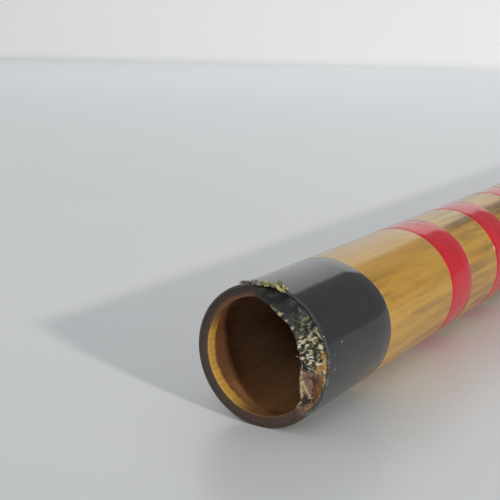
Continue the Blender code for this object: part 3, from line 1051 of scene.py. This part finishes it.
class FLUTE_OT_stage(bpy.types.Operator):
    """Sets the table, the wall behind it, the soft lights and the camera"""

    bl_idname = "flute.stage"
    bl_label = "Stage"

    def execute(self, context):
        self.camera(context.scene)
        self.table()
        self.wall()
        self.lights(context.scene)
        context.scene.view_settings.view_transform = "Standard"
        return {"FINISHED"}

    def camera(self, scene):
        """Looks along the flute from its head end, downwards and to the left of +X."""
        data = bpy.data.cameras.new("camera")
        data.lens = 72.0
        data.sensor_width = 36.0
        data.clip_start = 0.005
        eye = bpy.data.objects.new("camera", data)
        scene.collection.objects.link(eye)
        eye.location = CAMERA_PLACE
        eye.rotation_euler = (math.radians(90 - CAMERA_DOWN), 0.0, math.radians(CAMERA_LEFT - 90))
        scene.camera = eye

    def plane(self, name):
        start_clean()
        bpy.ops.mesh.primitive_plane_add(size=1.0, location=(0, 0, 0))
        bpy.context.object.name = name
        return bpy.context.object

    def table(self):
        """The satin table top that the flute lies on."""
        floor = self.plane("floor")
        points = read_points(floor.data)
        write_points(floor.data, points * [*FLOOR_SIZE, 1.0] + [FLOOR_SHIFT, 0.0, 0.0])
        material, tree, shader, coords = new_material("satin_laminate", 0.3, ior=1.45)
        grey = pattern(tree, coords, 60 * MM, 60 * MM, detail=2.0)
        pale = linear(colours().floor)
        colour = blend_colour(tree, scaled(tree, grey, 0.0, 0.25), pale, linear("#D2D4D6"))
        # The table is painted a little paler and bluer towards its far end: painted light, for the brighter
        # light and the wall's reflection there.
        along = add(tree, "ShaderNodeSeparateXYZ", {"Vector": coords}).outputs["X"]
        stretch = {"From Min": HEAD + 0.15, "From Max": HEAD + 0.75}
        far = add(tree, "ShaderNodeMapRange", {"Value": along, **stretch})
        colour = blend_colour(tree, far.outputs[0], colour, linear("#FAFCFF"))
        tree.links.new(colour, shader.inputs["Base Color"])
        floor.data.materials.append(material)

    def wall(self):
        """The pale wall across the table's far end, which stops short of the flute's own line."""
        wall = self.plane("wall")
        points = read_points(wall.data)
        along = WALL_START + (points[:, 0] + 0.5) * WALL_WIDTH
        height = (points[:, 1] + 0.5) * WALL_HEIGHT
        write_points(wall.data, np.column_stack([np.full(len(points), HEAD + WALL_DISTANCE), along, height]))
        paper, tree, shader, coords = new_material("matt_wall_paint", 0.9)
        plaster = pattern(tree, coords, 20 * MM, 20 * MM)
        shade = linear(colours().wall)
        colour = blend_colour(tree, scaled(tree, plaster, 0.0, 0.06), shade, linear("#D8D8D6"))
        tree.links.new(colour, shader.inputs["Base Color"])
        tree.links.new(colour, shader.inputs["Emission Color"])
        # The wall glows, and its glow is painted brighter higher up: painted light, as from a window.
        height = add(tree, "ShaderNodeSeparateXYZ", {"Vector": coords}).outputs["Z"]
        brightening = {"From Min": 0.19, "From Max": 0.45, "To Min": 0.37, "To Max": 0.70}
        painted_window_glow = add(tree, "ShaderNodeMapRange", {"Value": height, **brightening})
        # A seam of shade runs where the wall meets the table.
        shading = {"From Max": 0.010, "To Min": 0.72, "To Max": 1.0}
        seam = add(tree, "ShaderNodeMapRange", {"Value": height, **shading})
        strength = maths(tree, "MULTIPLY", painted_window_glow.outputs[0], seam.outputs[0])
        tree.links.new(strength, shader.inputs["Emission Strength"])
        wall.data.materials.append(paper)

    def lights(self, scene):
        world = bpy.data.worlds.new("room")
        scene.world = world
        world.use_nodes = True
        world.node_tree.nodes["Background"].inputs[0].default_value = linear("#B4BAC0")
        world.node_tree.nodes["Background"].inputs[1].default_value = 0.5
        lit = Vector((HEAD + 0.05, 0, 0))
        for name, place, size, power, code in LAMPS:
            self.panel(name, lit + Vector(place), lit, size, power, code)

    def panel(self, name, place, target, size, power, code):
        """A flat soft lamp that faces its target."""
        data = bpy.data.lights.new(name, "AREA")
        data.shape = "RECTANGLE"
        data.size, data.size_y = size
        data.energy = power
        data.color = linear(code)[:3]
        lamp = bpy.data.objects.new(name, data)
        bpy.context.scene.collection.objects.link(lamp)
        lamp.location = place
        lamp.rotation_euler = (target - place).to_track_quat("-Z", "Y").to_euler()


class FLUTE_PT_panel(bpy.types.Panel):
    """Lists the flute's pieces in the 3D view's sidebar"""

    bl_label = "Bamboo flute"
    bl_idname = "FLUTE_PT_panel"
    bl_space_type = "VIEW_3D"
    bl_region_type = "UI"
    bl_category = "Flute"

    def draw(self, context):
        for step in STEPS:
            self.layout.operator(step.bl_idname)
        for group in (context.scene.flute_sizes, context.scene.flute_colours):
            for name in group.__annotations__:
                self.layout.prop(group, name)


STEPS = (
    FLUTE_OT_stage,
    FLUTE_OT_tube,
    FLUTE_OT_bindings,
    FLUTE_OT_splinters,
    FLUTE_OT_cork,
    FLUTE_OT_membrane,
)
CLASSES = (FluteSizes, FluteColours, *STEPS, FLUTE_PT_panel)


def register():
    for cls in CLASSES:
        bpy.utils.register_class(cls)
    bpy.types.Scene.flute_sizes = bpy.props.PointerProperty(type=FluteSizes)
    bpy.types.Scene.flute_colours = bpy.props.PointerProperty(type=FluteColours)


def unregister():
    del bpy.types.Scene.flute_colours
    del bpy.types.Scene.flute_sizes
    for cls in reversed(CLASSES):
        bpy.utils.unregister_class(cls)


def main():
    register()
    bpy.ops.flute.stage()
    bpy.ops.flute.tube()
    bpy.ops.flute.bindings()
    bpy.ops.flute.splinters()
    bpy.ops.flute.cork()
    bpy.ops.flute.membrane()


if __name__ == "__main__":
    main()
